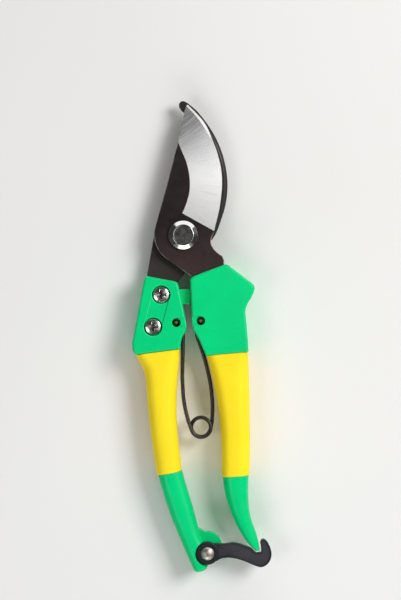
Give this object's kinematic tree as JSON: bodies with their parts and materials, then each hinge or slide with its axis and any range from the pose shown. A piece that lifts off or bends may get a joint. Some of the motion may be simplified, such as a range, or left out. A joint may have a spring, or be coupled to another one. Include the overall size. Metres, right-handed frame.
{
  "type": "bypass pruning shears",
  "caption": "Hand pruning shears with a curved cutting blade passing a hooked counter blade, moulded handles with grip sleeves, a wire spring and a tail latch.",
  "frame": {"origin": "on the pivot bolt's axis, on the plane that the shears lie on", "axes": "+Y from the pivot to the blade tips, +X towards the cutting blade's handle, +Z along the bolt out of its head"},
  "size_m": [0.06, 0.2035, 0.016],
  "materials": {
    "coated_steel": "satin dark coating",
    "ground_steel": "ground face, dark coated body",
    "polished_steel": "polished",
    "plain_steel": "satin",
    "handle_plastic": "semi-gloss moulded",
    "grip_plastic": "soft moulded sleeve",
    "spring_wire": "black",
    "latch_plastic": "moulded"
  },
  "bodies": {
    "hook_half": {"hook_blade": "coated_steel", "pivot_bolt": "polished_steel", "pivot_washer": "plain_steel", "pivot_nut": "plain_steel", "left_handle": "handle_plastic", "left_grip": "grip_plastic", "left_upper_screw": "polished_steel", "left_lower_screw": "polished_steel", "latch_rivet": "plain_steel", "latch_washer": "plain_steel"},
    "blade_half": {"cutting_blade": "ground_steel", "right_handle": "handle_plastic", "right_grip": "grip_plastic", "right_upper_screw": "polished_steel", "right_lower_screw": "polished_steel"},
    "spring_left": {"spring_left_leg": "spring_wire"},
    "spring_right": {"spring_right_leg": "spring_wire"},
    "latch": {"latch_lever": "latch_plastic"}
  },
  "joints": [
    {"name": "blade_pivot", "type": "hinge", "parent": "hook_half", "child": "blade_half", "pos_m": [0, 0, 0.008], "axis": [0, 0, 1], "range_deg": [0, 36]},
    {"name": "spring_left_turn", "type": "hinge", "parent": "hook_half", "child": "spring_left", "pos_m": [-0.0029, -0.0377, 0.009], "axis": [0, 0, 1], "range_deg": [0, 32]},
    {"name": "spring_coil_turn", "type": "hinge", "parent": "spring_left", "child": "spring_right", "pos_m": [0.0077, -0.0831, 0.008], "axis": [0, 0, 1], "range_deg": [-31, 0]},
    {"name": "latch_pivot", "type": "hinge", "parent": "hook_half", "child": "latch", "pos_m": [0.0105, -0.1372, 0.0105], "axis": [0, 0, 1], "range_deg": [-62, 0]}
  ],
  "couplings": [
    {"joint": "spring_left_turn", "follows": "blade_pivot", "ratio": 0.835},
    {"joint": "spring_coil_turn", "follows": "blade_pivot", "ratio": -0.803}
  ]
}
